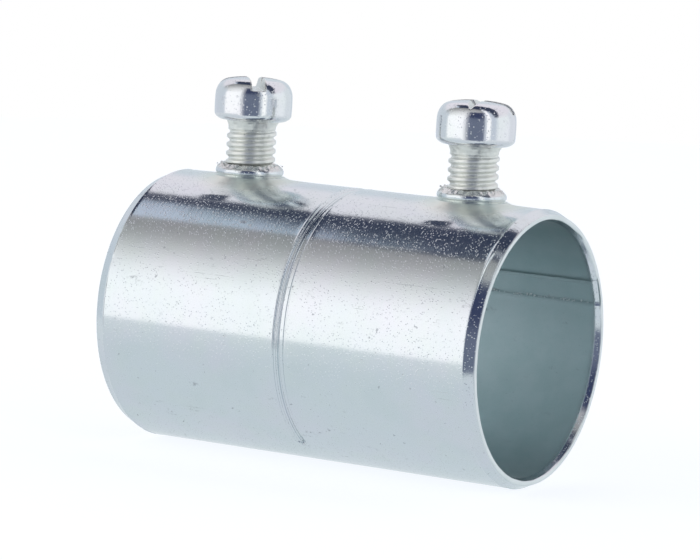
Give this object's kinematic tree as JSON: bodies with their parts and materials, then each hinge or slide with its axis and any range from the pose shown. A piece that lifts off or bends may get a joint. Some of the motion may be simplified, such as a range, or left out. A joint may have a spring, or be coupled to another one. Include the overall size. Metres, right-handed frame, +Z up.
{
  "type": "set-screw conduit coupling",
  "caption": "Short zinc-plated steel sleeve that joins two thin-wall conduits end to end, with a set screw in a drawn, tapped collar near each end and a rolled stop at mid length.",
  "frame": {"origin": "on the sleeve's axis at mid length, which is the centre of the stop", "axes": "+X along the sleeve's axis towards the right socket, +Z up along both screws out of their heads, +Y across to the side where the inner weld seam lies"},
  "size_m": [0.0518, 0.0328, 0.0448],
  "materials": {
    "zinc_sleeve": "bright zinc plate with a clear bluish passivate, drawn and scratched",
    "zinc_screw": "polished zinc plate with a clear bluish passivate"
  },
  "bodies": {
    "sleeve": {"sleeve": "zinc_sleeve"},
    "left_travel": {"left_screw_point": "zinc_screw"},
    "left_screw": {"left_set_screw": "zinc_screw"},
    "right_travel": {"right_screw_point": "zinc_screw"},
    "right_screw": {"right_set_screw": "zinc_screw"}
  },
  "joints": [
    {"name": "left_screw_travel", "type": "slide", "parent": "sleeve", "child": "left_travel", "axis": [0, 0, 1], "range_m": [-0.00519, 0.00082]},
    {"name": "left_screw_turn", "type": "hinge", "parent": "left_travel", "child": "left_screw", "pos_m": [-0.0154, 0, 0.0234], "axis": [0, 0, 1], "range_deg": [-1765, 281]},
    {"name": "right_screw_travel", "type": "slide", "parent": "sleeve", "child": "right_travel", "axis": [0, 0, 1], "range_m": [-0.00501, 0.001]},
    {"name": "right_screw_turn", "type": "hinge", "parent": "right_travel", "child": "right_screw", "pos_m": [0.0154, 0, 0.0231], "axis": [0, 0, 1], "range_deg": [-1705, 341]}
  ],
  "couplings": [
    {"joint": "left_screw_turn", "follows": "left_screw_travel", "rad_per_m": 5937.1},
    {"joint": "right_screw_turn", "follows": "right_screw_travel", "rad_per_m": 5937.1}
  ]
}
